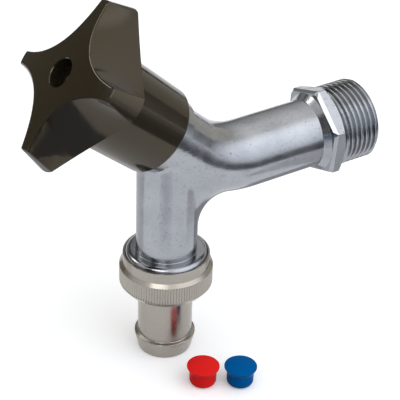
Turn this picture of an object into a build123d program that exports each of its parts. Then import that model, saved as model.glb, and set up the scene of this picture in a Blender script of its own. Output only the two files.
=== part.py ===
from build123d import *
import math
import os

# A bib tap with a slanted stem, a four-lobed handle and a knurled hose union.
# Millimetres. +Z is up along the outlet, the origin is the centre of the hose tail's foot, and
# the inlet arm runs towards +X. The object is symmetric about the XZ plane, apart from the
# turn of its hexagon and its handle.

# Pipe thread, the same size at the inlet and at the outlet (3/4 inch parallel)
THREAD_D = 26.44
THREAD_GAP = 0.05

# Hose tail, from its foot up
BARB_END_D = 17.5
BARB_D = 20.0
BARB_LENGTH = 6.4
BARB_SHOULDER_DROP = 0.5
BARB_LAND = 0.7
BARB_FOOT_ROUND = 0.6
NECK_D = 17.8
NECK_SHOWN = 17.9
TAIL_BORE_D = 13.0
FLANGE_D = 24.0
FLANGE_T = 2.4

# Union nut
NUT_HEIGHT = 12.5
NUT_KNURL_WALL = 1.83
NUT_BAND_WALL = 0.73
NUT_BAND_HEIGHT = 3.6
NUT_STEP = 1.05
NUT_LIP = 2.4
NUT_FOOT_INSET = 1.55
NUT_FOOT_HEIGHT = 2.0
NUT_NECK_GAP = 0.08
UNION_GASKET_T = 2.4
UNION_GASKET_BORE_D = 14.0
UNION_GASKET_EDGE_GAP = 0.6

# Outlet of the body
OUTLET_D = 19.5
OUTLET_BORE_D = 13.0
BOSS_LENGTH = 6.5
BOSS_ROUND = 1.7
BOSS_CHAMFER = 1.0
BOSS_COVE = 0.25
OUTLET_DROP = 26.2
OUTLET_BLEND = 11.0

# Inlet arm, with lengths along its axis from the outlet's axis
INLET_RISE_DEG = 4.0
ARM_D = 22.2
ARM_BORE_D = 16.0
ARM_BORE_START = 21.0
WATERWAY_D = 15.0
ARM_LENGTH = 50.1
HEX_AF = 27.0
HEX_COLLAR_D = 25.6
HEX_ROOT_D = 25.7
HEX_CORNER_D = 28.8
HEX_LEDGE = 0.05
HEX_BEVEL = 1.2
HEX_ROOT_LENGTH = 2.0
HEX_LENGTH = 5.0
HEX_CHAMFER_DEG = 30.0
HEX_TURN_DEG = 40.0
RELIEF_D = 23.6
RELIEF_LENGTH = 0.6
INLET_THREAD_LENGTH = 12.8
INLET_CHAMFER = 1.2

# Stem axis: it crosses the inlet's level here, and rises the other way
STEM_OFFSET = 16.2
STEM_RISE_DEG = 39.8
BEND_RADIUS = 30.0

# Stations along the stem axis
SEAT_FLOOR = 5.0
SEAT_LIP = 1.0
SEAT_BORE_D = 11.0
SEAT_LIP_D = 13.6
SEAT_WALL = 1.7
CHAMBER_D = 17.2
CHAMBER_TOP = 23.4
MOUTH = 31.0
MOUTH_BOSS_D = 24.4
MOUTH_BOSS_LENGTH = 8.0
BONNET_THREAD_D = 20.0

# Headwork
BONNET_GASKET_T = 1.0
BONNET_SHANK_GAP = 0.6
BONNET_HEX_AF = 21.0
BONNET_HEX_HEIGHT = 6.5
BONNET_NECK_D = 14.0
BONNET_NECK_END = 1.35
GUIDE_AF = 12.2
GUIDE_GAP = 0.08
COLLAR_D = 12.0
COLLAR_T = 2.5
COLLAR_ROOM = 1.0
THRUST_WASHER_T = 0.8
SPINDLE_D = 9.0
SPINDLE_GAP = 0.05
RING_GAP = 0.03
RING_GROOVE_D = 6.0
RING_GROOVE_W = 2.2
RING_END = 1.4
RING_PITCH = 3.2
CLIP_T = 1.0
CLIP_D = 13.0
CLIP_GROOVE_D = 7.6
CLIP_GAP = 0.1
CLIP_OPENING = 5.0
SQUARE = 7.0
SQUARE_LENGTH = 8.4
SQUARE_STEP = 1.0
SPINDLE_THREAD_D = 8.0

# Disc carrier and washer
LIFT = 5.0
LIFT_ROOM = 1.0
SEAT_TOUCH = 0.05
SEAT_WASHER_D = 15.0
SEAT_WASHER_T = 3.0
CARRIER_HEAD_T = 2.0
CARRIER_LENGTH = 18.0
CARRIER_THREAD_DEPTH = 14.5
WASHER_PLATE_D = 9.0
WASHER_PLATE_T = 0.8
WASHER_SCREW_D = 4.0
WASHER_SCREW_HEAD_D = 7.0
WASHER_SCREW_HEAD_T = 1.6
WASHER_SCREW_DEPTH = 2.6

# Handle
SKIRT_END = 27.1
SKIRT_END_D = 28.0
SKIRT_TOP_D = 29.4
SKIRT_BORE_D = 26.0
SKIRT_BORE_DEPTH = 24.0
SKIRT_ROUND = 0.8
STAR_BACK = 55.5
STAR_FRONT = 66.4
STAR_TURN_DEG = 11.6
STAR_BACK_TIP = 25.6
STAR_BACK_TIP_W = 7.6
STAR_BACK_TIP_BULGE = 0.9
STAR_BACK_WAIST = 20.5
STAR_FRONT_TIP = 23.4
STAR_FRONT_TIP_W = 3.6
STAR_FRONT_TIP_BULGE = 0.2
STAR_FRONT_WAIST = 10.9
STAR_DOME_RADIUS = 160.0
STAR_ROUND = 0.6
HUB_D = 13.6
SCREW_WELL_D = 8.4
SCREW_WELL_GAP = 0.3
SOCKET_GAP = 0.05
WEB_T = 2.0
CAP_HOLE_D = 8.9
CAP_HOLE_CHAMFER = 0.3
LOBE_WALL = 2.4

# Handle screw
HANDLE_SCREW_D = 5.0
HANDLE_SCREW_HEAD_D = 8.0
HANDLE_SCREW_HEAD_T = 2.6
HANDLE_SCREW_LENGTH = 8.0
SCREW_GAP = 0.05
SLOT_W = 1.2
SLOT_DEPTH = 1.0

# Index caps, standing on the floor beside the tail
CAP_FLANGE_D = 10.5
CAP_RIM_T = 0.3
CAP_FLANGE_T = 2.1
CAP_BODY_D = 8.7
CAP_HEIGHT = 7.3
CAP_DOME = 0.7
CAP_ROUND = 1.6
CAP_WALL = 2.0
RED_CAP_AT = (1.35, -23.85)
BLUE_CAP_AT = (11.95, -29.35)

# Levels along the outlet
NUT_BOTTOM = BARB_LENGTH + NECK_SHOWN
FLANGE_BOTTOM = NUT_BOTTOM + NUT_LIP
GASKET_BOTTOM = FLANGE_BOTTOM + FLANGE_T
BOSS_BOTTOM = GASKET_BOTTOM + UNION_GASKET_T
BOSS_TOP = BOSS_BOTTOM + BOSS_LENGTH
NUT_TOP = NUT_BOTTOM + NUT_HEIGHT
CROSSING = BOSS_TOP + OUTLET_DROP
STEM_MEETS_OUTLET = CROSSING + STEM_OFFSET * math.tan(math.radians(STEM_RISE_DEG))

# Lengths along the inlet
HEX_START = ARM_LENGTH + HEX_ROOT_LENGTH
HEX_END = HEX_START + HEX_LENGTH
INLET_THREAD_START = HEX_END + RELIEF_LENGTH
INLET_END = INLET_THREAD_START + INLET_THREAD_LENGTH

# Stations of the headwork
SEAT_TOP = SEAT_FLOOR + SEAT_LIP
WASHER_BOTTOM = SEAT_TOP + SEAT_TOUCH
CARRIER_BOTTOM = WASHER_BOTTOM + SEAT_WASHER_T
CARRIER_TOP = CARRIER_BOTTOM + CARRIER_LENGTH
CARRIER_HOLE_BOTTOM = CARRIER_TOP - CARRIER_THREAD_DEPTH
SPINDLE_BOTTOM = CARRIER_HOLE_BOTTOM + LIFT + LIFT_ROOM
COLLAR_BOTTOM = CARRIER_TOP + LIFT + LIFT_ROOM
COLLAR_TOP = COLLAR_BOTTOM + COLLAR_T
SHOULDER = COLLAR_TOP + THRUST_WASHER_T
BONNET_BOTTOM = CHAMBER_TOP + BONNET_SHANK_GAP
BONNET_SEAT = MOUTH + BONNET_GASKET_T
BONNET_HEX_TOP = BONNET_SEAT + BONNET_HEX_HEIGHT
LOWER_RING = SHOULDER + RING_END + RING_GROOVE_W / 2
UPPER_RING = LOWER_RING + RING_PITCH
BONNET_TOP = UPPER_RING + RING_GROOVE_W / 2 + BONNET_NECK_END
CLIP_BOTTOM = BONNET_TOP + CLIP_GAP
CLIP_TOP = CLIP_BOTTOM + CLIP_T
SQUARE_BOTTOM = CLIP_TOP + SQUARE_STEP
SPINDLE_TOP = SQUARE_BOTTOM + SQUARE_LENGTH
WEB_BOTTOM = SPINDLE_TOP + SOCKET_GAP
WEB_TOP = WEB_BOTTOM + WEB_T
CAP_HOLE_BOTTOM = WEB_TOP + HANDLE_SCREW_HEAD_T + SCREW_WELL_GAP
HUB_BOTTOM = SQUARE_BOTTOM


def direction(degrees, sign):
    """A unit vector in the XZ plane, rising by the angle towards +X or -X."""
    angle = math.radians(degrees)
    return Vector(sign * math.cos(angle), 0, math.sin(angle))


INLET_DIR = direction(INLET_RISE_DEG, 1)
STEM_DIR = direction(STEM_RISE_DEG, -1)
INLET = Plane(origin=(0, 0, CROSSING), x_dir=(0, 1, 0), z_dir=INLET_DIR)
STEM = Plane(origin=(STEM_OFFSET, 0, CROSSING), x_dir=(0, 1, 0), z_dir=STEM_DIR)


def turned(*profile):
    """A turned solid: a closed outline of (radius, height) points about its own Z axis."""
    outline = Polyline(*[(radius, 0, height) for radius, height in profile], close=True)
    return revolve(make_face(outline), Axis.Z)


def disc(diameter, bottom, top):
    """A cylinder between two heights."""
    upwards = (Align.CENTER, Align.CENTER, Align.MIN)
    return Pos(0, 0, bottom) * Cylinder(diameter / 2, top - bottom, align=upwards)


def ring(outer, inner, bottom, top):
    """A flat ring between two heights."""
    return disc(outer, bottom, top) - disc(inner, bottom - 1, top + 1)


def hexagon(across_flats, bottom, top):
    """A hexagonal prism between two heights, with corners on its X axis."""
    face = RegularPolygon(across_flats / 2, 6, major_radius=False)
    return Pos(0, 0, bottom) * extrude(face, top - bottom)


def bend_corner():
    """The point where the inlet's axis and the stem's axis meet, in the XZ plane."""
    slope_in = math.tan(math.radians(INLET_RISE_DEG))
    slope_stem = math.tan(math.radians(STEM_RISE_DEG))
    x = STEM_OFFSET * slope_stem / (slope_in + slope_stem)
    return Vector(x, 0, CROSSING + x * slope_in)


CORNER = bend_corner()


def bent_tube():
    """The outside of the arm, bent from the inlet's axis into the stem's axis and past its mouth."""
    start = INLET.origin + INLET_DIR * (ARM_LENGTH + HEX_ROOT_LENGTH)
    end = STEM.origin + STEM_DIR * (MOUTH + OUTLET_BLEND)
    path = FilletPolyline(start, CORNER, end, radius=BEND_RADIUS)
    section = Plane(origin=start, x_dir=(0, 1, 0), z_dir=-INLET_DIR) * Circle(ARM_D / 2)
    return sweep(section, path=path)


def inlet_end():
    """The hexagon on its cone, bevelled towards the arm, the relief and the thread's crest cylinder."""
    arm_r = ARM_D / 2
    root_r = HEX_ROOT_D / 2
    collar_r = HEX_COLLAR_D / 2
    corner_r = HEX_AF / math.sqrt(3)
    cut_r = HEX_CORNER_D / 2
    slope = math.tan(math.radians(HEX_CHAMFER_DEG))
    run = (corner_r - collar_r) * slope
    root = turned((0, ARM_LENGTH), (arm_r, ARM_LENGTH), (root_r, HEX_START), (0, HEX_START))
    shape = turned(
        (0, HEX_START),
        (cut_r, HEX_START),
        (corner_r, HEX_START + corner_r - cut_r),
        (corner_r, HEX_END - run),
        (collar_r, HEX_END),
        (0, HEX_END),
    )
    foot = Pos(0, 0, HEX_START) * RegularPolygon(root_r + HEX_LEDGE, 6, major_radius=False)
    flats = Pos(0, 0, HEX_START + HEX_BEVEL) * RegularPolygon(HEX_AF / 2, 6, major_radius=False)
    nut = loft([foot, flats], ruled=True) + hexagon(HEX_AF, HEX_START + HEX_BEVEL, HEX_END)
    nut = Rot(0, 0, HEX_TURN_DEG) * nut & shape
    thread = turned(
        (0, HEX_END),
        (RELIEF_D / 2, HEX_END),
        (RELIEF_D / 2, INLET_THREAD_START),
        (THREAD_D / 2 - INLET_CHAMFER / 2, INLET_THREAD_START),
        (THREAD_D / 2, INLET_THREAD_START + INLET_CHAMFER / 2),
        (THREAD_D / 2, INLET_END - INLET_CHAMFER),
        (THREAD_D / 2 - INLET_CHAMFER, INLET_END),
        (0, INLET_END),
    )
    return root + nut + thread


def outlet_boss():
    """The threaded boss under the outlet, with its rounded upper edge and the cove at the outlet's foot."""
    boss = disc(THREAD_D, BOSS_BOTTOM, BOSS_TOP)
    boss = fillet(boss.edges().sort_by(Axis.Z)[-1], BOSS_ROUND)
    boss = chamfer(boss.edges().sort_by(Axis.Z)[0], BOSS_CHAMFER)
    foot = (OUTLET_D / 2 + BOSS_COVE, 0, BOSS_TOP)
    rise = (OUTLET_D / 2, 0, BOSS_TOP + BOSS_COVE)
    straight = Polyline(rise, (0, 0, rise[2]), (0, 0, BOSS_TOP), foot)
    cove = make_face(straight + TangentArc(foot, rise, tangent=(-1, 0, 0)))
    return boss + revolve(cove, Axis.Z)


def body():
    """The brass casting: arm, outlet and stem boss in one, with the seat inside."""
    shell = bent_tube() + disc(OUTLET_D, BOSS_BOTTOM, STEM_MEETS_OUTLET)
    plain = (GeomType.LINE, GeomType.CIRCLE)
    seam = [edge for edge in shell.edges() if edge.geom_type not in plain]
    shell = fillet(seam, OUTLET_BLEND)
    shell -= STEM * disc(2 * ARM_D, MOUTH, MOUTH + 2 * OUTLET_BLEND)
    shell += STEM * disc(MOUTH_BOSS_D, MOUTH - MOUTH_BOSS_LENGTH, MOUTH)
    shell += INLET * inlet_end()
    shell += outlet_boss()
    return shell - passages()


def passages():
    """The water's way: inlet, seat, chamber and outlet."""
    past = 1.0
    corner_station = (CORNER - STEM.origin).dot(STEM_DIR)
    inlet = INLET * disc(WATERWAY_D, (CORNER - INLET.origin).dot(INLET_DIR), ARM_BORE_START + past)
    inlet += STEM * (Pos(0, 0, corner_station) * Sphere(WATERWAY_D / 2))
    inlet -= STEM * disc(WATERWAY_D * 2, SEAT_FLOOR - SEAT_WALL, SEAT_FLOOR + WATERWAY_D)
    inlet += INLET * disc(ARM_BORE_D, ARM_BORE_START, INLET_END + past)
    seat = STEM * disc(SEAT_BORE_D, corner_station, SEAT_TOP + past)
    chamber = disc(CHAMBER_D, SEAT_FLOOR, CHAMBER_TOP) - ring(SEAT_LIP_D, SEAT_BORE_D, SEAT_FLOOR, SEAT_TOP)
    chamber += disc(BONNET_THREAD_D, CHAMBER_TOP, MOUTH + past)
    chamber = STEM * chamber
    outlet = disc(OUTLET_BORE_D, BOSS_BOTTOM - past, CROSSING + OUTLET_BORE_D * 0.6)
    outlet -= STEM * disc(ARM_D * 2, -ARM_D, SEAT_FLOOR)
    return inlet + seat + chamber + outlet


def bonnet():
    """The headwork's body: threaded shank, hexagon and neck, bored for spindle and carrier."""
    shank = disc(BONNET_THREAD_D - 2 * THREAD_GAP, BONNET_BOTTOM, BONNET_SEAT)
    head = hexagon(BONNET_HEX_AF, BONNET_SEAT, BONNET_HEX_TOP)
    neck = disc(BONNET_NECK_D, BONNET_HEX_TOP, BONNET_TOP)
    solid = shank + head + neck
    solid -= hexagon(GUIDE_AF + 2 * GUIDE_GAP, BONNET_BOTTOM - 1, COLLAR_BOTTOM - COLLAR_ROOM)
    solid -= disc(COLLAR_D + 2 * GUIDE_GAP, COLLAR_BOTTOM - COLLAR_ROOM, SHOULDER)
    solid -= disc(SPINDLE_D + 2 * SPINDLE_GAP, SHOULDER, BONNET_TOP + 1)
    return solid


def spindle():
    """The turning stem, from its drive thread up to the square that carries the handle."""
    shaft_r = SPINDLE_D / 2
    thread = disc(SPINDLE_THREAD_D, SPINDLE_BOTTOM, COLLAR_BOTTOM)
    collar = disc(COLLAR_D, COLLAR_BOTTOM, COLLAR_TOP)
    shaft = disc(SPINDLE_D, COLLAR_TOP, SQUARE_BOTTOM)
    for level in (LOWER_RING, UPPER_RING):
        shaft -= ring(2 * SPINDLE_D, RING_GROOVE_D, level - RING_GROOVE_W / 2, level + RING_GROOVE_W / 2)
    shaft -= ring(2 * SPINDLE_D, CLIP_GROOVE_D, CLIP_BOTTOM - CLIP_GAP / 2, CLIP_TOP + CLIP_GAP / 2)
    square = Pos(0, 0, SQUARE_BOTTOM) * extrude(Rectangle(SQUARE, SQUARE), SQUARE_LENGTH)
    square &= disc(2 * shaft_r, SQUARE_BOTTOM, SPINDLE_TOP)
    hole = disc(HANDLE_SCREW_D, WEB_TOP - HANDLE_SCREW_LENGTH - SCREW_GAP, SPINDLE_TOP + 1)
    return thread + collar + shaft + square - hole


def o_ring(level):
    """A seal that fills the room between its groove in the spindle and the bonnet's bore."""
    inner = RING_GROOVE_D / 2 + RING_GAP
    outer = SPINDLE_D / 2 + SPINDLE_GAP - RING_GAP
    return Pos(0, 0, level) * Torus((outer + inner) / 2, (outer - inner) / 2)


def retaining_clip():
    """A snap ring, open on one side, in the spindle's groove above the bonnet."""
    clip = ring(CLIP_D, CLIP_GROOVE_D + 2 * SPINDLE_GAP, CLIP_BOTTOM, CLIP_TOP)
    return clip - Pos(CLIP_D / 2, 0, CLIP_BOTTOM) * Box(CLIP_D, CLIP_OPENING, 4 * CLIP_T)


def disc_carrier():
    """The hexagon slide with its round head and the thread for the spindle."""
    slide = hexagon(GUIDE_AF, CARRIER_BOTTOM, CARRIER_TOP)
    head = disc(SEAT_WASHER_D, CARRIER_BOTTOM, CARRIER_BOTTOM + CARRIER_HEAD_T)
    hole = disc(SPINDLE_THREAD_D + 2 * THREAD_GAP, CARRIER_HOLE_BOTTOM, CARRIER_TOP + 1)
    tapped = disc(WASHER_SCREW_D, CARRIER_BOTTOM - 1, CARRIER_BOTTOM + WASHER_SCREW_DEPTH)
    return slide + head - hole - tapped


def washer_plate():
    """The thin plate between the rubber disc and its screw."""
    return ring(WASHER_PLATE_D, WASHER_SCREW_D, WASHER_BOTTOM - WASHER_PLATE_T, WASHER_BOTTOM)


def washer_screw():
    """The screw that holds the rubber disc, with a slotted head."""
    head_top = WASHER_BOTTOM - WASHER_PLATE_T
    head = disc(WASHER_SCREW_HEAD_D, head_top - WASHER_SCREW_HEAD_T, head_top)
    slot = Pos(0, 0, head_top - WASHER_SCREW_HEAD_T) * Box(2 * WASHER_SCREW_HEAD_D, SLOT_W, SLOT_DEPTH)
    shank_d = WASHER_SCREW_D - 2 * SCREW_GAP
    shank = disc(shank_d, head_top, CARRIER_BOTTOM + WASHER_SCREW_DEPTH - SCREW_GAP)
    return head - slot + shank


def handle_screw():
    """The screw at the bottom of the handle's front hole, with a cross-slotted head."""
    head = disc(HANDLE_SCREW_HEAD_D, WEB_TOP, WEB_TOP + HANDLE_SCREW_HEAD_T)
    head = fillet(head.edges().sort_by(Axis.Z)[-1], HANDLE_SCREW_HEAD_T / 3)
    for turn in (0, 90):
        slot = Box(HANDLE_SCREW_HEAD_D * 0.6, SLOT_W, 2 * SLOT_DEPTH)
        head -= Pos(0, 0, WEB_TOP + HANDLE_SCREW_HEAD_T) * Rot(0, 0, turn) * slot
    shank = disc(HANDLE_SCREW_D - 2 * SCREW_GAP, WEB_TOP - HANDLE_SCREW_LENGTH, WEB_TOP)
    return head + shank


def star_face(tip, tip_width, bulge, waist, station):
    """The star's outline at one station: four blunt, bulging tips joined by hollow arcs."""
    half = tip_width / 2
    edges = []
    for k in range(4):
        turn = Rot(0, 0, STAR_TURN_DEG + 90 * k)
        left, right = [(turn * Pos(tip, side * half, station)).position for side in (-1, 1)]
        following = (turn * Rot(0, 0, 90) * Pos(tip, -half, station)).position
        middle = (turn * Rot(0, 0, 45) * Pos(waist, 0, station)).position
        end = (turn * Pos(tip + bulge, 0, station)).position
        edges.append(ThreePointArc(left, end, right))
        edges.append(ThreePointArc(right, middle, following))
    return make_face(Curve(edges))


def lobe_pocket():
    """The hollow that is moulded into the back of one lobe, along local X."""
    inner = SKIRT_TOP_D / 2 + LOBE_WALL / 2
    back = trapezoid(
        inner,
        STAR_BACK_TIP - LOBE_WALL,
        STAR_BACK_TIP_W,
        STAR_BACK_TIP_W - LOBE_WALL,
        STAR_BACK,
    )
    front = trapezoid(
        inner,
        STAR_FRONT_TIP - 2 * LOBE_WALL,
        STAR_FRONT_TIP_W,
        STAR_FRONT_TIP_W / 2,
        STAR_FRONT - 2 * LOBE_WALL,
    )
    return loft([back, front], ruled=True)


def trapezoid(x_near, x_far, width_near, width_far, station):
    """A face across local X that narrows from its near to its far end."""
    outline = Polyline(
        (x_near, -width_near / 2, station),
        (x_far, -width_far / 2, station),
        (x_far, width_far / 2, station),
        (x_near, width_near / 2, station),
        close=True,
    )
    return make_face(outline)


def star():
    """The grip: a flared four-lobed block with a domed front."""
    back = star_face(
        STAR_BACK_TIP,
        STAR_BACK_TIP_W,
        STAR_BACK_TIP_BULGE,
        STAR_BACK_WAIST,
        STAR_BACK,
    )
    front = star_face(
        STAR_FRONT_TIP,
        STAR_FRONT_TIP_W,
        STAR_FRONT_TIP_BULGE,
        STAR_FRONT_WAIST,
        STAR_FRONT,
    )
    block = loft([back, front], ruled=True)
    block &= Pos(0, 0, STAR_FRONT - STAR_DOME_RADIUS) * Sphere(STAR_DOME_RADIUS)
    outer = [edge for edge in block.edges() if edge.center().Z > STAR_BACK + 0.1]
    return fillet(outer, STAR_ROUND)


def handle():
    """One moulding: the star, the skirt over the bonnet and the hub on the spindle."""
    skirt = turned(
        (0, SKIRT_END),
        (SKIRT_END_D / 2, SKIRT_END),
        (SKIRT_TOP_D / 2, STAR_BACK),
        (0, STAR_BACK),
    )
    skirt = fillet(skirt.edges().sort_by(Axis.Z)[0], SKIRT_ROUND)
    hollow = ring(SKIRT_BORE_D, HUB_D, HUB_BOTTOM, SKIRT_END + SKIRT_BORE_DEPTH)
    hollow += disc(SKIRT_BORE_D, SKIRT_END - 1, HUB_BOTTOM)
    solid = skirt + star() - hollow
    socket = SQUARE + 2 * SOCKET_GAP
    hole = Pos(0, 0, HUB_BOTTOM - 1) * extrude(Rectangle(socket, socket), WEB_BOTTOM - HUB_BOTTOM + 1)
    hole &= disc(SPINDLE_D + 2 * SOCKET_GAP, HUB_BOTTOM - 1, WEB_BOTTOM)
    solid -= hole
    solid -= disc(HANDLE_SCREW_D + 2 * SCREW_GAP, WEB_BOTTOM - 1, WEB_TOP + 1)
    front_r = CAP_HOLE_D / 2
    edge_r = front_r + CAP_HOLE_CHAMFER
    solid -= turned(
        (0, WEB_TOP),
        (SCREW_WELL_D / 2, WEB_TOP),
        (SCREW_WELL_D / 2, CAP_HOLE_BOTTOM),
        (front_r, CAP_HOLE_BOTTOM),
        (front_r, STAR_FRONT - CAP_HOLE_CHAMFER),
        (edge_r, STAR_FRONT),
        (edge_r, STAR_FRONT + 1),
        (0, STAR_FRONT + 1),
    )
    for k in range(4):
        solid -= Rot(0, 0, STAR_TURN_DEG + 90 * k) * lobe_pocket()
    return solid


def union_nut():
    """The knurled nut, with a plain band above, a chamfered foot and an inner lip."""
    thread_r = THREAD_D / 2 + THREAD_GAP
    knurl_r = THREAD_D / 2 + NUT_KNURL_WALL
    band_r = THREAD_D / 2 + NUT_BAND_WALL
    lip_r = NECK_D / 2 + NUT_NECK_GAP
    step_top = NUT_TOP - NUT_BAND_HEIGHT
    return turned(
        (lip_r, NUT_BOTTOM),
        (knurl_r - NUT_FOOT_INSET, NUT_BOTTOM),
        (knurl_r, NUT_BOTTOM + NUT_FOOT_HEIGHT),
        (knurl_r, step_top - NUT_STEP),
        (band_r, step_top),
        (band_r, NUT_TOP),
        (thread_r, NUT_TOP),
        (thread_r, FLANGE_BOTTOM),
        (lip_r, FLANGE_BOTTOM),
    )


def hose_tail():
    """The barbed tail with the flange that the nut pulls up."""
    bore_r = TAIL_BORE_D / 2
    land_top = BARB_LENGTH - BARB_SHOULDER_DROP
    tail = turned(
        (bore_r, 0),
        (BARB_END_D / 2, 0),
        (BARB_D / 2, land_top - BARB_LAND),
        (BARB_D / 2, land_top),
        (NECK_D / 2, BARB_LENGTH),
        (NECK_D / 2, FLANGE_BOTTOM),
        (FLANGE_D / 2, FLANGE_BOTTOM),
        (FLANGE_D / 2, GASKET_BOTTOM),
        (bore_r, GASKET_BOTTOM),
    )
    foot = tail.edges().filter_by(GeomType.CIRCLE).filter_by_position(Axis.Z, -0.01, 0.01)
    return fillet(foot.sort_by(SortBy.RADIUS)[-1], BARB_FOOT_ROUND)


def index_cap(place):
    """A push-in cap: a hollow plug that flares to a thin, slightly domed rim, open end down."""
    body_r = CAP_BODY_D / 2
    rim_r = CAP_FLANGE_D / 2
    rim_top = CAP_HEIGHT - CAP_DOME
    flare_bottom = rim_top - CAP_FLANGE_T
    plug = turned(
        (0, 0),
        (body_r, 0),
        (body_r, flare_bottom),
        (rim_r, rim_top - CAP_RIM_T),
        (rim_r, rim_top),
        (0, rim_top),
    )
    plug = fillet(plug.edges().filter_by_position(Axis.Z, -0.01, 0.01), CAP_ROUND)
    dome_r = (rim_r**2 + CAP_DOME**2) / (2 * CAP_DOME)
    ball = Pos(0, 0, CAP_HEIGHT - dome_r) * Sphere(dome_r)
    plug += ball & disc(CAP_FLANGE_D, rim_top, CAP_HEIGHT + 1)
    plug -= disc(CAP_BODY_D - 2 * CAP_WALL, -1, flare_bottom)
    return Pos(*place, 0) * plug


PARTS = {
    "body": body(),
    "bonnet": STEM * bonnet(),
    "bonnet_gasket": STEM * ring(MOUTH_BOSS_D, BONNET_THREAD_D, MOUTH, BONNET_SEAT),
    "spindle": STEM * spindle(),
    "lower_o_ring": STEM * o_ring(LOWER_RING),
    "upper_o_ring": STEM * o_ring(UPPER_RING),
    "thrust_washer": STEM * ring(COLLAR_D, SPINDLE_D + 2 * SPINDLE_GAP, COLLAR_TOP, SHOULDER),
    "retaining_clip": STEM * retaining_clip(),
    "disc_carrier": STEM * disc_carrier(),
    "seat_washer": STEM * ring(SEAT_WASHER_D, WASHER_SCREW_D, WASHER_BOTTOM, CARRIER_BOTTOM),
    "washer_plate": STEM * washer_plate(),
    "washer_screw": STEM * washer_screw(),
    "handle": STEM * handle(),
    "handle_screw": STEM * handle_screw(),
    "union_nut": union_nut(),
    "hose_tail": hose_tail(),
    "union_gasket": ring(FLANGE_D - UNION_GASKET_EDGE_GAP, UNION_GASKET_BORE_D, GASKET_BOTTOM, BOSS_BOTTOM),
    "red_cap": index_cap(RED_CAP_AT),
    "blue_cap": index_cap(BLUE_CAP_AT),
}

os.makedirs("parts", exist_ok=True)
for node, solid in PARTS.items():
    export_step(solid, f"parts/{node}.step")
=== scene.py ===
"""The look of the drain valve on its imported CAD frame. Metres, in the frame's own axes."""
import math

import bpy
import numpy as np
from mathutils import Matrix, Vector


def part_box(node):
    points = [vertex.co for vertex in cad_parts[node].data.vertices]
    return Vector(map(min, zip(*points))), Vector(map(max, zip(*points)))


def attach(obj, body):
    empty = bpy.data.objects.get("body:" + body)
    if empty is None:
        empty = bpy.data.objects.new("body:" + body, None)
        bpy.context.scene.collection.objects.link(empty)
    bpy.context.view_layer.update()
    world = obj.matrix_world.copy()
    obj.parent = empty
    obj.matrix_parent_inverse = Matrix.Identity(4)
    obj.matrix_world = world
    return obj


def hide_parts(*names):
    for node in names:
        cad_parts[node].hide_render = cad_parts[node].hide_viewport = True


MM = 0.001
TURN = 2 * math.pi

# Camera, from the photograph's perspective
CAMERA_AT = (-0.158858, -0.293641, 0.260657)
CAMERA_AZIMUTH = math.radians(-30.152)
CAMERA_ELEVATION = math.radians(31.516)
CAMERA_ROLL = math.radians(2.143)
CAMERA_LENS_MM = 113.19
SENSOR_MM = 36

# The room's light: dim at the horizon, bright overhead, with a broad window on one side
ROOM_TINT = (1.0, 0.985, 0.95)
HORIZON = 0.10
ZENITH = 1.30
WINDOW_AT = (150, 28)
WINDOW_CORE = 15
WINDOW_REACH = 48
WINDOW = 1.15
WINDOW_TINT = (0.96, 1.0, 1.08)

# Inlet axis, and stations along it from the outlet's axis
CROSSING = 64.2 * MM
INLET_RISE = math.radians(4)
ARM_R = 11.1 * MM
ARM_END = 50.1 * MM
ARM_BORE_R = 8.0 * MM
HEX_START = 52.1 * MM
HEX_END = 57.1 * MM
HEX_FLAT = 13.5 * MM
HEX_COLLAR_R = 12.8 * MM
HEX_ROOT_R = 12.85 * MM
HEX_LEDGE = 0.05 * MM
HEX_BEVEL = 1.2 * MM
HEX_BEVEL_RUNOUT = 0.12 * MM
HEX_SLOPE = math.tan(math.radians(30))
HEX_TURN = math.radians(40)
HEX_CORNER_ROUND = 0.35 * MM
HEX_CUT_R = 14.4 * MM
HEX_POINTS_AT = (0, 0.25, 0.5, 0.75, 1.0, 1.5, 3, 5, 8, 11, 14, 17, 20, 23, 26, 28)  # degrees from a corner
ROOT_ROUND = 0.4 * MM
RELIEF_R = 11.8 * MM
THREAD_START = 57.7 * MM
THREAD_END = 70.5 * MM
THREAD_R = 13.22 * MM
THREAD_PITCH = 1.814 * MM
THREAD_DEPTH = 1.1 * MM
THREAD_CHAMFER = 1.2 * MM
THREAD_STEEPNESS = 1.25
ROOT_STEPS = 6
BEVEL_STEPS = 7
THREAD_STEPS = 133

# Union nut and hose tail: what their boxes don't give
NUT_BAND_R = 13.95 * MM
NUT_BAND_HEIGHT = 3.6 * MM
NUT_STEP = 1.05 * MM
NUT_FOOT_INSET = 1.55 * MM
NUT_FOOT_HEIGHT = 2.0 * MM
NUT_THREAD_R = 13.27 * MM
NUT_LIP_R = 8.98 * MM
NUT_LIP = 2.4 * MM
KNURL_RIBS = 105
KNURL_RIB_POINTS = 8
KNURL_DEPTH = 0.25 * MM
KNURL_RUNOUT = 0.35 * MM
BARB_END_R = 8.75 * MM
BARB_R = 10.0 * MM
BARB_LENGTH = 6.4 * MM
BARB_SHOULDER_DROP = 0.5 * MM
BARB_LAND = 0.7 * MM
BARB_FOOT_ROUND = 0.6 * MM
BARB_EDGE = 0.3 * MM
NECK_R = 8.9 * MM
TAIL_BORE_R = 6.5 * MM
TAIL_POINTS = 144
FLANGE_R = 12.0 * MM
FLANGE_T = 2.4 * MM
EDGE = 0.18 * MM

# Finishes: noise scales per metre, and the stretch of a noise's values that is used
NOISE_LOW = 0.3
NOISE_HIGH = 0.7
METAL_PATCHES = 130
METAL_POLISH = 260
METAL_WAVES = 110
METAL_GRAIN = 1500
PITS = 1500
PIT_START = 0.60
PIT_FULL = 0.76
PLASTIC_PATCHES = 160
PLASTIC_MARKS = 420
PLASTIC_MARK_STRETCH = (1, 1, 0.25)
PLASTIC_SKIN = 700

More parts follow.
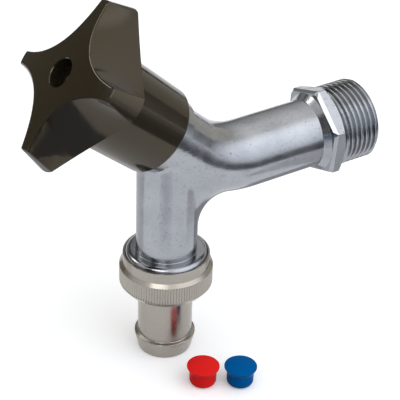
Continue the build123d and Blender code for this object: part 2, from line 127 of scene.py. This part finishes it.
# Stage: radii in metres and spans in degrees of azimuth
FLOOR_R = 4.0
FLOOR_POINTS = 64
FLOOR_SHADE = (0.42, 0.42, 0.42)
PAPER = (0.955, 0.97, 1.0)
PAPER_GLOW = 0.17
CARD_LIFT = 0.0005
BESIDE_R = 0.055
TABLE_R = 0.165
TABLE_MIDDLE_R = 0.36
TABLE_FAR_R = 0.62
TABLE_END_R = 1.6
TABLE_SPAN = (60, 190)
SIDE_R = 0.25
SIDE_END_R = 2.0
RIGHT_SHADE_R = 0.085
FRONT_R = 0.082
FRONT_SECTORS = ((190, 197, 0.51), (197, 204, 0.46), (204, 220, 0.42), (220, 227, 0.46), (227, 234, 0.51))
FRONT_COOLNESS = 1.04

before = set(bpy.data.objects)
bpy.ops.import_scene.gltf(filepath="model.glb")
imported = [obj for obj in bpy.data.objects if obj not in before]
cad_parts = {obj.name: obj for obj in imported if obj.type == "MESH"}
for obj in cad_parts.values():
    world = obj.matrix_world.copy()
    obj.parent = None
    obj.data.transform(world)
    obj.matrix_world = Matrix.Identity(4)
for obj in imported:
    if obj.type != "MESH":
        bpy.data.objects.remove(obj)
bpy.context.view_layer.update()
scene = bpy.context.scene
scene.view_settings.view_transform = "Standard"


def unit(vector):
    """A vector of length one."""
    return vector / np.linalg.norm(vector)


def ring_normals(points, turns):
    """Normals of a grid of rings: rows along the outline, columns round the axis at uneven turns."""
    before = (turns - np.roll(turns, 1)) % TURN
    after = (np.roll(turns, -1) - turns) % TURN
    weights = (
        -after / (before * (before + after)),
        (after - before) / (before * after),
        before / (after * (before + after)),
    )
    rings = (np.roll(points, 1, axis=1), points, np.roll(points, -1, axis=1))
    around = sum(weight[None, :, None] * ring for weight, ring in zip(weights, rings))
    along = np.gradient(points, axis=0, edge_order=2 if len(points) > 2 else 1)
    normals = np.cross(around, along)
    return normals / np.linalg.norm(normals, axis=2, keepdims=True)


def mesh_object(name, points, faces, normals):
    """An object from points, faces and one normal per face corner."""
    mesh = bpy.data.meshes.new(name)
    mesh.from_pydata(points.tolist(), [], faces.tolist())
    mesh.shade_smooth()
    mesh.normals_split_custom_set(normals.reshape(-1, 3).tolist())
    piece = bpy.data.objects.new(name, mesh)
    scene.collection.objects.link(piece)
    return piece


def ring_object(name, sections, turns, place, closed=True):
    """A mesh from sections of rings, smooth inside a section and creased between two of them."""
    columns = len(turns)
    here = np.arange(columns)
    beside = np.roll(here, -1)
    rows = [sections[0][0]]
    faces = []
    normals = []
    for section in sections:
        shading = ring_normals(section, turns)
        for i in range(len(section) - 1):
            lower = (len(rows) - 1) * columns
            closing = closed and section is sections[-1] and i == len(section) - 2
            upper = 0 if closing else lower + columns
            if not closing:
                rows.append(section[i + 1])
            faces.append(np.stack((lower + here, lower + beside, upper + beside, upper + here), axis=1))
            bent = (shading[i], shading[i][beside], shading[i + 1][beside], shading[i + 1])
            normals.append(np.stack(bent, axis=1))
    turn = np.array(place.to_3x3())
    points = np.concatenate(rows) @ turn.T + np.array(place.translation)
    return mesh_object(name, points, np.concatenate(faces), np.concatenate(normals) @ turn.T)


def rings(radii, heights, turns):
    """Rows of rings from radii and heights, each one number or one per column."""
    rows = []
    for radius, height in zip(radii, heights):
        radius = np.broadcast_to(radius, turns.shape)
        height = np.broadcast_to(height, turns.shape)
        rows.append(np.stack((radius * np.cos(turns), radius * np.sin(turns), height), axis=1))
    return np.array(rows)


def turned_sections(corners, turns, steps=5):
    """Sections of a closed turned outline. Each corner is (radius, height, rounding)."""
    at = [np.array(corner[:2]) for corner in corners]
    bends = []
    for i, corner in enumerate(corners):
        if not corner[2]:
            bends.append([at[i]])
            continue
        back = unit(at[i - 1] - at[i])
        ahead = unit(at[(i + 1) % len(at)] - at[i])
        half = math.acos(back @ ahead) / 2
        centre = at[i] + unit(back + ahead) * corner[2] / math.sin(half)
        start = at[i] + back * corner[2] / math.tan(half) - centre
        end = at[i] + ahead * corner[2] / math.tan(half) - centre
        sweep = math.pi - 2 * half
        shares = np.linspace(0, 1, steps + 1)[:, None]
        arc = (start * np.sin((1 - shares) * sweep) + end * np.sin(shares * sweep)) / math.sin(sweep)
        bends.append(list(centre + arc))
    stretches = []
    for i, bend in enumerate(bends):
        if len(bend) > 1:
            stretches.append(bend)
        stretches.append([bend[-1], bends[(i + 1) % len(bends)][0]])
    return [rings(np.array(stretch)[:, 0], np.array(stretch)[:, 1], turns) for stretch in stretches]


def cad_faces(name, node, keep):
    """A copy of the faces of a CAD node that pass keep, with the CAD's own shading."""
    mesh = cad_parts[node].data
    points = np.empty(len(mesh.vertices) * 3)
    mesh.vertices.foreach_get("co", points)
    points = points.reshape(-1, 3)
    faces = np.empty(len(mesh.loops), dtype=int)
    mesh.loops.foreach_get("vertex_index", faces)
    faces = faces.reshape(-1, 3)
    normals = np.empty(len(mesh.loops) * 3)
    mesh.corner_normals.foreach_get("vector", normals)
    normals = normals.reshape(-1, 3, 3)
    kept = keep(points)[faces].any(axis=1)
    used, faces_used = np.unique(faces[kept], return_inverse=True)
    return mesh_object(name, points[used], faces_used.reshape(-1, 3), normals[kept])


def material(name, colour, roughness, **sockets):
    """A principled material with constants on its own sockets, and the pieces to build on it."""
    made = bpy.data.materials.new(name)
    made.use_nodes = True
    tree = made.node_tree
    shader = tree.nodes["Principled BSDF"]
    shader.inputs["Base Color"].default_value = (*colour, 1)
    shader.inputs["Roughness"].default_value = roughness
    for socket, value in sockets.items():
        shader.inputs[socket.replace("_", " ")].default_value = value
    return made, tree, shader


def noise(tree, scale, detail=3.0, stretch=(1, 1, 1)):
    """A noise in the object's own metres, stretched along its axes."""
    place = tree.nodes.new("ShaderNodeTexCoord")
    mapping = tree.nodes.new("ShaderNodeMapping")
    mapping.inputs["Scale"].default_value = stretch
    texture = tree.nodes.new("ShaderNodeTexNoise")
    texture.inputs["Scale"].default_value = scale
    texture.inputs["Detail"].default_value = detail
    tree.links.new(place.outputs["Object"], mapping.inputs["Vector"])
    tree.links.new(mapping.outputs["Vector"], texture.inputs["Vector"])
    return texture.outputs["Fac"]


def ranged(tree, value, low, high):
    """A noise value spread over a range."""
    node = tree.nodes.new("ShaderNodeMapRange")
    node.inputs["From Min"].default_value = NOISE_LOW
    node.inputs["From Max"].default_value = NOISE_HIGH
    node.inputs["To Min"].default_value = low
    node.inputs["To Max"].default_value = high
    tree.links.new(value, node.inputs["Value"])
    return node.outputs["Result"]


def tinted(tree, value, low, high):
    """A colour between two, by a noise value."""
    node = tree.nodes.new("ShaderNodeMix")
    node.data_type = "RGBA"
    node.inputs["A"].default_value = (*low, 1)
    node.inputs["B"].default_value = (*high, 1)
    tree.links.new(value, node.inputs["Factor"])
    return node.outputs["Result"]


def bumped(tree, value, height, normal=None):
    """A bump of a real height in metres, on top of another if there is one."""
    node = tree.nodes.new("ShaderNodeBump")
    node.inputs["Distance"].default_value = height
    tree.links.new(value, node.inputs["Height"])
    if normal:
        tree.links.new(normal, node.inputs["Normal"])
    return node.outputs["Normal"]


def pitted(tree, colour, pit):
    """A colour with small sparse pits of another."""
    spread = tree.nodes.new("ShaderNodeMapRange")
    spread.inputs["From Min"].default_value = PIT_START
    spread.inputs["From Max"].default_value = PIT_FULL
    tree.links.new(noise(tree, PITS), spread.inputs["Value"])
    mix = tree.nodes.new("ShaderNodeMix")
    mix.data_type = "RGBA"
    mix.inputs["B"].default_value = (*pit, 1)
    tree.links.new(spread.outputs["Result"], mix.inputs["Factor"])
    tree.links.new(colour, mix.inputs["A"])
    return mix.outputs["Result"]


def metal(name, dark, light, roughness, wave_height, grain_height, grain_stretch=(1, 1, 1), pit=None):
    """Plated or bare metal: a little uneven in colour and polish, with waves, a grain and maybe pits."""
    made, tree, shader = material(name, light, roughness[0], Metallic=1.0)
    colour = tinted(tree, noise(tree, METAL_PATCHES, detail=6.0), dark, light)
    if pit:
        colour = pitted(tree, colour, pit)
    tree.links.new(colour, shader.inputs["Base Color"])
    tree.links.new(ranged(tree, noise(tree, METAL_POLISH), *roughness), shader.inputs["Roughness"])
    waves = bumped(tree, noise(tree, METAL_WAVES, detail=1.0), wave_height)
    grain = bumped(tree, noise(tree, METAL_GRAIN, stretch=grain_stretch), grain_height, waves)
    tree.links.new(grain, shader.inputs["Normal"])
    return made


def plastic(name, dark, light, roughness, grain_height, specular, sheen=(1, 1, 1)):
    """Moulded plastic: a little uneven in colour, with handling marks in its gloss and a fine skin."""
    sockets = {"Specular_IOR_Level": specular, "Specular_Tint": (*sheen, 1)}
    made, tree, shader = material(name, light, roughness[0], **sockets)
    marks = noise(tree, PLASTIC_MARKS, stretch=PLASTIC_MARK_STRETCH)
    tree.links.new(tinted(tree, noise(tree, PLASTIC_PATCHES), dark, light), shader.inputs["Base Color"])
    tree.links.new(ranged(tree, marks, *roughness), shader.inputs["Roughness"])
    tree.links.new(bumped(tree, noise(tree, PLASTIC_SKIN), grain_height), shader.inputs["Normal"])
    return made


METALS = {
    "chrome_plate": {
        "dark": (0.245, 0.26, 0.285),
        "light": (0.42, 0.435, 0.465),
        "roughness": (0.12, 0.24),
        "wave_height": 0.08 * MM,
        "grain_height": 0.02 * MM,
        "pit": (0.17, 0.178, 0.19),
    },
    "nickel_plate": {
        "dark": (0.318, 0.293, 0.264),
        "light": (0.366, 0.339, 0.306),
        "roughness": (0.20, 0.29),
        "wave_height": 0.01 * MM,
        "grain_height": 0.0015 * MM,
        "grain_stretch": (1, 1, 6),
    },
    "brass": {
        "dark": (0.58, 0.40, 0.17),
        "light": (0.68, 0.48, 0.22),
        "roughness": (0.18, 0.32),
        "wave_height": 0.01 * MM,
        "grain_height": 0.002 * MM,
    },
    "steel": {
        "dark": (0.42, 0.42, 0.43),
        "light": (0.50, 0.50, 0.51),
        "roughness": (0.20, 0.34),
        "wave_height": 0.005 * MM,
        "grain_height": 0.002 * MM,
    },
}
PLASTICS = {
    "dark_plastic": {
        "dark": (0.014, 0.011, 0.007),
        "light": (0.018, 0.014, 0.009),
        "roughness": (0.08, 0.15),
        "grain_height": 0.001 * MM,
        "specular": 0.55,
        "sheen": (1.0, 0.86, 0.66),
    },
    "red_plastic": {
        "dark": (0.72, 0.016, 0.015),
        "light": (0.80, 0.020, 0.020),
        "roughness": (0.16, 0.24),
        "grain_height": 0.001 * MM,
        "specular": 0.01,
    },
    "blue_plastic": {
        "dark": (0.0004, 0.088, 0.30),
        "light": (0.0006, 0.102, 0.35),
        "roughness": (0.16, 0.24),
        "grain_height": 0.001 * MM,
        "specular": 0.01,
    },
    "white_plastic": {
        "dark": (0.72, 0.71, 0.68),
        "light": (0.78, 0.77, 0.74),
        "roughness": (0.30, 0.42),
        "grain_height": 0.001 * MM,
        "specular": 0.5,
    },
    "rubber": {
        "dark": (0.015, 0.015, 0.015),
        "light": (0.022, 0.022, 0.022),
        "roughness": (0.55, 0.70),
        "grain_height": 0.003 * MM,
        "specular": 0.4,
    },
}
MATERIALS = {name: metal(name, **finish) for name, finish in METALS.items()}
MATERIALS.update({name: plastic(name, **finish) for name, finish in PLASTICS.items()})

NODE_SLOTS = {
    "body": "chrome_plate",
    "bonnet": "brass",
    "bonnet_gasket": "rubber",
    "spindle": "brass",
    "lower_o_ring": "rubber",
    "upper_o_ring": "rubber",
    "thrust_washer": "white_plastic",
    "retaining_clip": "steel",
    "disc_carrier": "brass",
    "seat_washer": "rubber",
    "washer_plate": "steel",
    "washer_screw": "steel",
    "handle": "dark_plastic",
    "handle_screw": "steel",
    "union_nut": "nickel_plate",
    "hose_tail": "nickel_plate",
    "union_gasket": "rubber",
    "red_cap": "red_plastic",
    "blue_cap": "blue_plastic",
}

for node, slot_name in NODE_SLOTS.items():
    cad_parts[node].data.materials.clear()
    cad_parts[node].data.materials.append(MATERIALS[slot_name])


def dress(piece, body, node):
    """Give a piece its body and the finish of the CAD node it stands for, and hide that node."""
    slot_name = NODE_SLOTS[node]
    piece.data.materials.append(MATERIALS[slot_name])
    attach(piece, body)
    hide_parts(node)


# The casting: the CAD body, apart from the outside of its inlet end
INLET_AXIS = Vector((math.cos(INLET_RISE), 0, math.sin(INLET_RISE)))
INLET_SIDE = Vector((0, 1, 0))
INLET_PLACE = Matrix.Translation((0, 0, CROSSING)) @ Matrix(
    (INLET_SIDE, INLET_AXIS.cross(INLET_SIDE), INLET_AXIS)
).transposed().to_4x4()


def off_inlet_end(points):
    """True for points of the casting that stay: before the hexagon's root, or in the bore."""
    inward = np.array(INLET_PLACE.inverted())
    local = points @ inward[:3, :3].T + inward[:3, 3]
    slack = 0.05 * MM
    ahead = local[:, 2] < ARM_END - slack
    bored = np.hypot(local[:, 0], local[:, 1]) < ARM_BORE_R + slack
    return ahead | (bored & (local[:, 2] < THREAD_END - slack))


dress(cad_faces("casting", "body", off_inlet_end), "tap", "body")


# The inlet end: root, bevelled and chamfered hexagon, relief and a right-handed pipe thread
def hexagon_radius(turns):
    """Distance to the side of a hexagon with slightly rounded corners."""
    off_corner = np.abs((turns - HEX_TURN + TURN / 12) % (TURN / 6) - TURN / 12)
    flat = HEX_FLAT / np.cos(TURN / 12 - off_corner)
    centre = (HEX_FLAT - HEX_CORNER_ROUND) / math.cos(TURN / 12)
    reach = np.sqrt(np.maximum(HEX_CORNER_ROUND**2 - (centre * np.sin(off_corner)) ** 2, 0))
    rounded = centre * np.cos(off_corner) + reach
    on_round = centre * np.sin(off_corner) < HEX_CORNER_ROUND * math.sin(TURN / 12)
    return np.where(on_round, rounded, flat)


def thread_radius(turns, station):
    """Distance to the thread's surface, with its chamfered ends."""
    phase = (station / THREAD_PITCH - turns / TURN) % 1
    flank = np.clip(THREAD_STEEPNESS * (1 - 4 * np.abs(phase - 0.5)), -1, 1)
    radius = THREAD_R - THREAD_DEPTH * (0.5 - 0.5 * np.sin(flank * math.pi / 2))
    start = RELIEF_R + (station - THREAD_START)
    end = THREAD_R - THREAD_CHAMFER + (THREAD_END - station)
    return np.minimum(np.minimum(radius, start), end)


near_corner = np.radians(HEX_POINTS_AT)
half_flat = np.concatenate((near_corner, [TURN / 12]))
one_side = np.concatenate((half_flat, TURN / 6 - near_corner[:0:-1]))
hex_turns = np.sort(np.concatenate([HEX_TURN + k * TURN / 6 + one_side for k in range(6)]) % TURN)
hex_radius = hexagon_radius(hex_turns)
hex_run = (hex_radius - HEX_COLLAR_R) * HEX_SLOPE
hex_foot = hex_radius * (HEX_ROOT_R + HEX_LEDGE) / HEX_FLAT

root_slope = math.atan2(HEX_ROOT_R - ARM_R, HEX_START - ARM_END)
root_steps = np.linspace(0, root_slope, ROOT_STEPS)
root_start = ROOT_ROUND * math.tan(root_slope / 2)
root_radii = ARM_R + ROOT_ROUND * (1 - np.cos(root_steps))
root_stations = ARM_END - root_start + ROOT_ROUND * np.sin(root_steps)
bevel_shares = np.linspace(0, 1, BEVEL_STEPS)
bevel_stations = HEX_START + HEX_BEVEL * bevel_shares
bevel_end = HEX_START + HEX_BEVEL
flat_start = bevel_end + HEX_BEVEL_RUNOUT
bevel_radii = [
    np.minimum(hex_foot + (hex_radius - hex_foot) * share, HEX_CUT_R + HEX_BEVEL * share)
    for share in bevel_shares
]
thread_stations = np.linspace(THREAD_START, THREAD_END, THREAD_STEPS)
thread_radii = [thread_radius(hex_turns, station) for station in thread_stations]
inlet_sections = [
    rings(root_radii, root_stations, hex_turns),
    rings((root_radii[-1], HEX_ROOT_R), (root_stations[-1], HEX_START), hex_turns),
    rings((HEX_ROOT_R, bevel_radii[0]), (HEX_START, HEX_START), hex_turns),
    rings(bevel_radii, bevel_stations, hex_turns),
    rings((bevel_radii[-1], hex_radius), (bevel_end, flat_start), hex_turns),
    rings((hex_radius, hex_radius), (flat_start, HEX_END - hex_run), hex_turns),
    rings((hex_radius, HEX_COLLAR_R), (HEX_END - hex_run, HEX_END), hex_turns),
    rings((HEX_COLLAR_R, RELIEF_R), (HEX_END, HEX_END), hex_turns),
    rings((RELIEF_R, RELIEF_R), (HEX_END, THREAD_START), hex_turns),
    rings(thread_radii, thread_stations, hex_turns),
    rings((THREAD_R - THREAD_CHAMFER, ARM_BORE_R), (THREAD_END, THREAD_END), hex_turns),
]
dress(ring_object("inlet_end", inlet_sections, hex_turns, INLET_PLACE, closed=False), "tap", "body")


# The union nut, with its straight knurl
nut_low, nut_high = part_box("union_nut")
nut_r = nut_high.x
nut_turns = np.linspace(0, TURN, KNURL_RIBS * KNURL_RIB_POINTS, endpoint=False)
knurl_low = nut_low.z + NUT_FOOT_HEIGHT
knurl_high = nut_high.z - NUT_BAND_HEIGHT - NUT_STEP
nut_corners = (
    (NUT_LIP_R, nut_low.z, 0),
    (nut_r - NUT_FOOT_INSET, nut_low.z, EDGE),
    (nut_r, knurl_low, 0),
    (nut_r, knurl_low + KNURL_RUNOUT, 0),
    (nut_r, knurl_high - KNURL_RUNOUT, 0),
    (nut_r, knurl_high, 0),
    (NUT_BAND_R, knurl_high + NUT_STEP, 0),
    (NUT_BAND_R, nut_high.z, EDGE),
    (NUT_THREAD_R, nut_high.z, EDGE),
    (NUT_THREAD_R, nut_low.z + NUT_LIP, 0),
    (NUT_LIP_R, nut_low.z + NUT_LIP, 0),
)
nut_sections = turned_sections(nut_corners, nut_turns)
valley = (0.5 - 0.5 * np.cos(nut_turns * KNURL_RIBS)) ** 2
for section in nut_sections:
    height = section[:, :, 2]
    inside = np.minimum(height - knurl_low, knurl_high - height) / KNURL_RUNOUT
    outer = np.hypot(section[:, :, 0], section[:, :, 1]) > nut_r - 0.5 * EDGE
    depth = np.clip(inside, 0, 1) * valley * KNURL_DEPTH * outer
    section[:, :, :2] *= (1 - depth / nut_r)[:, :, None]
dress(ring_object("knurled_nut", nut_sections, nut_turns, Matrix.Identity(4)), "nut", "union_nut")


# The hose tail, with softened edges
tail_low, tail_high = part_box("hose_tail")
tail_turns = np.linspace(0, TURN, TAIL_POINTS, endpoint=False)
barb_top = tail_low.z + BARB_LENGTH - BARB_SHOULDER_DROP
tail_corners = (
    (TAIL_BORE_R, tail_low.z, EDGE),
    (BARB_END_R, tail_low.z, BARB_FOOT_ROUND),
    (BARB_R, barb_top - BARB_LAND, BARB_EDGE),
    (BARB_R, barb_top, BARB_EDGE),
    (NECK_R, tail_low.z + BARB_LENGTH, 2 * EDGE),
    (NECK_R, tail_high.z - FLANGE_T, 0),
    (FLANGE_R, tail_high.z - FLANGE_T, 0),
    (FLANGE_R, tail_high.z, 0),
    (TAIL_BORE_R, tail_high.z, 0),
)
tail_sections = turned_sections(tail_corners, tail_turns)
dress(ring_object("turned_tail", tail_sections, tail_turns, Matrix.Identity(4)), "tail", "hose_tail")


# Stage: a white floor, a room, a softbox, and cards, most of them dark, that only reflections show; one of
# them is painted shade on the floor under the arm
def sheet_object(name, corners, colour, glow):
    """A flat stage sheet from its corners."""
    mesh = bpy.data.meshes.new(name)
    mesh.from_pydata(corners, [], [tuple(range(len(corners)))])
    made = bpy.data.materials.new(name)
    made.use_nodes = True
    shader = made.node_tree.nodes["Principled BSDF"]
    shader.inputs["Base Color"].default_value = (*colour, 1)
    shader.inputs["Roughness"].default_value = 1.0
    shader.inputs["Specular IOR Level"].default_value = 0.0
    shader.inputs["Emission Color"].default_value = (*colour, 1)
    shader.inputs["Emission Strength"].default_value = glow
    mesh.materials.append(made)
    sheet = bpy.data.objects.new(name, mesh)
    scene.collection.objects.link(sheet)
    return sheet


def direction(azimuth, elevation):
    """A direction from degrees: azimuth from +Y towards +X, elevation from the floor."""
    a, e = math.radians(azimuth), math.radians(elevation)
    return Vector((math.sin(a) * math.cos(e), math.cos(a) * math.cos(e), math.sin(e)))


def card(name, corners, colour, glow=1):
    """A sheet that shows only in reflections."""
    sheet = sheet_object(name, corners, colour, glow)
    sheet.visible_camera = False
    sheet.visible_diffuse = False
    sheet.visible_shadow = False


def in_the_room(distance, *places):
    """Points at one distance from the object, each from its azimuth and elevation."""
    return [Vector((0, 0, CROSSING)) + direction(*place) * distance for place in places]


def on_the_wall(distance, left, right, low, high):
    """The corners of an upright card, from its azimuths and elevations."""
    return in_the_room(distance, (left, low), (right, low), (right, high), (left, high))


def on_the_floor(inner, outer, start, end, steps=24):
    """The outline of a sector of a ring on the floor, between two azimuths."""
    turns = [start + (end - start) * k / steps for k in range(steps + 1)]
    near = [direction(turn, 0) * inner for turn in turns]
    far = [direction(turn, 0) * outer for turn in reversed(turns)]
    return [point + Vector((0, 0, CARD_LIFT)) for point in near + far]


def seen(tree):
    """One for rays from the camera and for mirrored or refracted ones, else zero."""
    path = tree.nodes.new("ShaderNodeLightPath")
    either = path.outputs["Is Camera Ray"]
    for ray in ("Is Glossy Ray", "Is Transmission Ray"):
        largest = tree.nodes.new("ShaderNodeMath")
        largest.operation = "MAXIMUM"
        tree.links.new(either, largest.inputs[0])
        tree.links.new(path.outputs[ray], largest.inputs[1])
        either = largest.outputs["Value"]
    return either


def whiten(made, colour, glow):
    """Show the floor as white paper that keeps its shadow, without lighting the object more."""
    tree = made.node_tree
    shader = tree.nodes["Principled BSDF"]
    paper = tree.nodes.new("ShaderNodeBsdfDiffuse")
    paper.inputs["Color"].default_value = (*colour, 1)
    lift = tree.nodes.new("ShaderNodeEmission")
    lift.inputs["Strength"].default_value = glow
    both = tree.nodes.new("ShaderNodeAddShader")
    mix = tree.nodes.new("ShaderNodeMixShader")
    tree.links.new(paper.outputs["BSDF"], both.inputs[0])
    tree.links.new(lift.outputs["Emission"], both.inputs[1])
    tree.links.new(seen(tree), mix.inputs["Fac"])
    tree.links.new(shader.outputs["BSDF"], mix.inputs[1])
    tree.links.new(both.outputs["Shader"], mix.inputs[2])
    tree.links.new(mix.outputs["Shader"], tree.nodes["Material Output"].inputs["Surface"])


floor_turns = [k * TURN / FLOOR_POINTS for k in range(FLOOR_POINTS)]
floor_corners = [(FLOOR_R * math.cos(turn), FLOOR_R * math.sin(turn), 0) for turn in floor_turns]
floor = sheet_object("floor", floor_corners, FLOOR_SHADE, 0)
whiten(floor.data.materials[0], PAPER, PAPER_GLOW)

card("dark_back", in_the_room(1.2, (-18, 20), (22, 20), (31, 43), (38, 54), (-18, 54)), (0.06, 0.062, 0.07))
card("dark_left", on_the_wall(1.25, -65, -19, 2, 27), (0.13, 0.115, 0.078))
card("edge_light", on_the_wall(1.25, -42, -26, 34, 46), (1.0, 0.96, 0.88), glow=5)
card("table_edge", on_the_floor(TABLE_R, TABLE_MIDDLE_R, *TABLE_SPAN), (0.08, 0.082, 0.09))
card("table_side", on_the_floor(SIDE_R, SIDE_END_R, 190, 300), (0.10, 0.125, 0.18))
card("table_middle", on_the_floor(TABLE_MIDDLE_R, TABLE_FAR_R, *TABLE_SPAN), (0.13, 0.133, 0.14))
card("table_far", on_the_floor(TABLE_FAR_R, TABLE_END_R, *TABLE_SPAN), (0.30, 0.305, 0.315))
# Painted shade: a grey sheet on the floor under the arm stands in for the arm's shadow there, and shows
# only in reflections
card("floor_shade_right", on_the_floor(RIGHT_SHADE_R, TABLE_R, 95, 136), (0.36, 0.362, 0.37))
card("floor_left", on_the_floor(BESIDE_R, TABLE_R, -60, 25), (0.40, 0.403, 0.41))
card("floor_back", on_the_floor(BESIDE_R, TABLE_R, 25, 95), (0.20, 0.203, 0.215))
for start, end, shade in FRONT_SECTORS:
    card("floor_front", on_the_floor(FRONT_R, SIDE_R, start, end), (shade, shade, FRONT_COOLNESS * shade))
card("warm_wall", on_the_wall(1.3, 58, 100, 3, 38), (0.48, 0.46, 0.41))
card("dark_side", on_the_wall(1.0, 234, 264, -6, 38), (0.02, 0.02, 0.022))


def softbox(name, azimuth, elevation, distance, width, height, radiance):
    """A softbox that faces the object and shows in its polish, by the brightness that it shows."""
    lamp = bpy.data.lights.new(name, "AREA")
    lamp.shape = "RECTANGLE"
    lamp.size = width
    lamp.size_y = height
    lamp.energy = radiance * math.pi * width * height
    box = bpy.data.objects.new(name, lamp)
    towards = direction(azimuth, elevation)
    box.location = Vector((0, 0, CROSSING)) + towards * distance
    box.rotation_euler = towards.to_track_quat("Z", "Y").to_euler()
    box.visible_diffuse = False
    scene.collection.objects.link(box)


softbox("fill", azimuth=-132, elevation=48, distance=1.2, width=0.62, height=0.55, radiance=2.6)


def room_light():
    """The room: a warm white that fades towards the horizon, with one broad cool window in it."""
    room = bpy.data.worlds.new("room")
    scene.world = room
    room.use_nodes = True
    tree = room.node_tree
    place = tree.nodes.new("ShaderNodeTexCoord").outputs["Generated"]
    split = tree.nodes.new("ShaderNodeSeparateXYZ")
    tree.links.new(place, split.inputs["Vector"])
    walls = tree.nodes["Background"]
    walls.inputs["Color"].default_value = (*ROOM_TINT, 1)
    rise = tree.nodes.new("ShaderNodeMapRange")
    rise.inputs["To Min"].default_value = HORIZON
    rise.inputs["To Max"].default_value = ZENITH
    tree.links.new(split.outputs["Z"], rise.inputs["Value"])
    tree.links.new(rise.outputs["Result"], walls.inputs["Strength"])
    nearness = tree.nodes.new("ShaderNodeVectorMath")
    nearness.operation = "DOT_PRODUCT"
    nearness.inputs[1].default_value = direction(*WINDOW_AT)
    tree.links.new(place, nearness.inputs[0])
    reach = tree.nodes.new("ShaderNodeMapRange")
    reach.interpolation_type = "SMOOTHSTEP"
    reach.inputs["From Min"].default_value = math.cos(math.radians(WINDOW_REACH))
    reach.inputs["From Max"].default_value = math.cos(math.radians(WINDOW_CORE))
    reach.inputs["To Max"].default_value = WINDOW
    tree.links.new(nearness.outputs["Value"], reach.inputs["Value"])
    window = tree.nodes.new("ShaderNodeBackground")
    window.inputs["Color"].default_value = (*WINDOW_TINT, 1)
    tree.links.new(reach.outputs["Result"], window.inputs["Strength"])
    both = tree.nodes.new("ShaderNodeAddShader")
    tree.links.new(walls.outputs["Background"], both.inputs[0])
    tree.links.new(window.outputs["Background"], both.inputs[1])
    plain = tree.nodes.new("ShaderNodeBackground")
    plain.inputs["Color"].default_value = (1, 1, 1, 1)
    shown = tree.nodes.new("ShaderNodeMixShader")
    path = tree.nodes.new("ShaderNodeLightPath")
    tree.links.new(path.outputs["Is Camera Ray"], shown.inputs["Fac"])
    tree.links.new(both.outputs["Shader"], shown.inputs[1])
    tree.links.new(plain.outputs["Background"], shown.inputs[2])
    tree.links.new(shown.outputs["Shader"], tree.nodes["World Output"].inputs["Surface"])


room_light()

# Camera
back = Vector((
    math.sin(CAMERA_AZIMUTH) * math.cos(CAMERA_ELEVATION),
    -math.cos(CAMERA_AZIMUTH) * math.cos(CAMERA_ELEVATION),
    math.sin(CAMERA_ELEVATION),
))
right = Vector((math.cos(CAMERA_AZIMUTH), math.sin(CAMERA_AZIMUTH), 0))
up = back.cross(right)
rolled_right = math.cos(CAMERA_ROLL) * right + math.sin(CAMERA_ROLL) * up
rolled_up = math.cos(CAMERA_ROLL) * up - math.sin(CAMERA_ROLL) * right
lens = bpy.data.cameras.new("camera")
lens.sensor_width = SENSOR_MM
lens.lens = CAMERA_LENS_MM
camera = bpy.data.objects.new("camera", lens)
aim = Matrix((rolled_right, rolled_up, back)).transposed().to_4x4()
camera.matrix_world = Matrix.Translation(CAMERA_AT) @ aim
scene.collection.objects.link(camera)
scene.camera = camera
